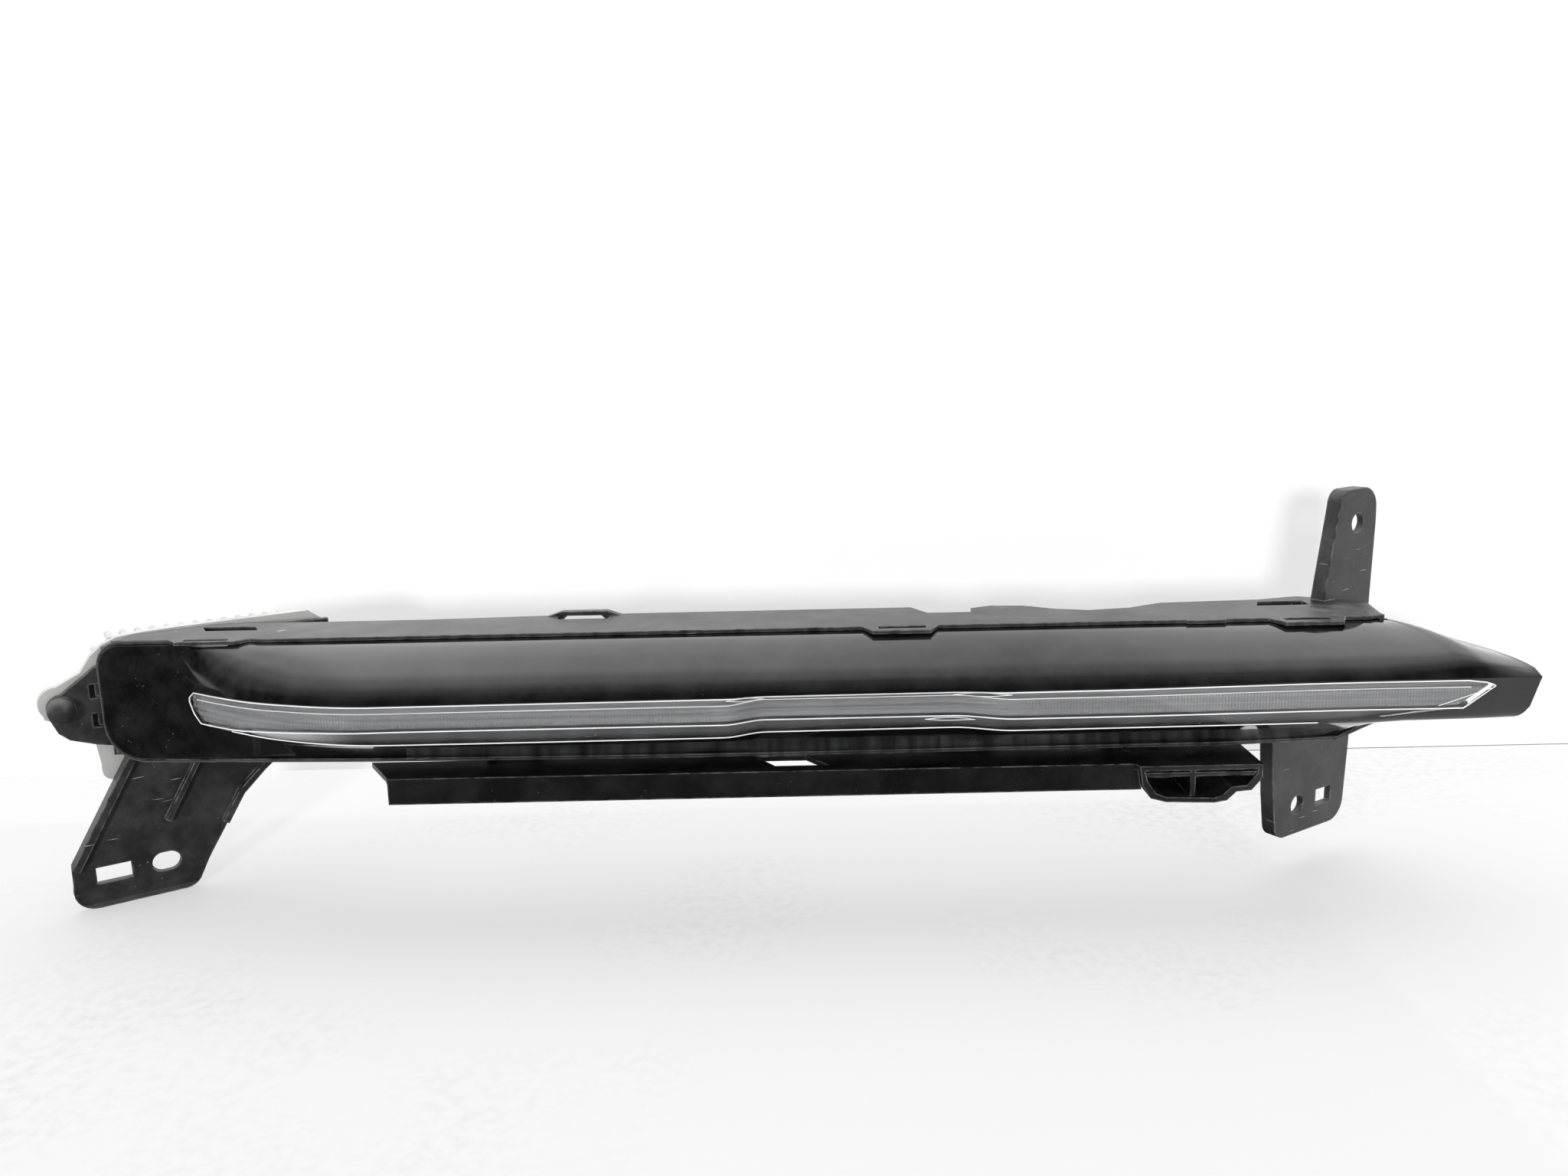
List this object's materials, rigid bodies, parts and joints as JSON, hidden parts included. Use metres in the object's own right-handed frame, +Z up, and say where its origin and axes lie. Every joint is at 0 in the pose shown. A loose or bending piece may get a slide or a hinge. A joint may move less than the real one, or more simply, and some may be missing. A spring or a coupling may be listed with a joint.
{
  "type": "daytime running light",
  "caption": "Slim car daytime running light with a glossy black hood, a clear light strip, a black rear housing with fixing tabs, a lower rail and a finned heatsink.",
  "frame": {"origin": "centre of the screw hole in the upper tab, at the tab's front face", "axes": "+X along the lamp towards the pointed wing, +Y to the back, away from the light strip, +Z up"},
  "size_m": [0.4909, 0.082, 0.132],
  "materials": {
    "matte_black": "fine grained, moulded",
    "gloss_black": "polished",
    "clear": "clear, polished",
    "guide_clear": "clear with fine flutes",
    "carrier_grey": "satin",
    "screw_steel": "zinc plated",
    "seal_rubber": "matte",
    "cast_aluminium": "as cast, dull",
    "pad": "matte",
    "board_white": "solder mask on aluminium core",
    "led_yellow": "phosphor",
    "board_green": "solder mask",
    "component_dark": "moulded",
    "socket_grey": "moulded",
    "pin_tin": "tinned",
    "lead_black": "smooth sleeve",
    "plug_white": "moulded",
    "membrane": "felt"
  },
  "bodies": {
    "root": {"housing": "matte_black", "lower_rail": "matte_black", "lens_hood": "gloss_black", "lens_strip": "clear", "light_guide": "guide_clear", "guide_carrier": "carrier_grey", "carrier_screws": "screw_steel", "seal_bead": "seal_rubber", "heatsink": "cast_aluminium", "heatsink_gasket": "seal_rubber", "heatsink_screws": "screw_steel", "thermal_pad": "pad", "led_board": "board_white", "leds": "led_yellow", "led_board_screws": "screw_steel", "driver_board": "board_green", "driver_parts": "component_dark", "driver_screws": "screw_steel", "connector": "socket_grey", "connector_pins": "pin_tin", "lamp_lead": "lead_black", "lead_plug": "plug_white", "vent_cap": "matte_black", "vent_membrane": "membrane"}
  },
  "joints": []
}
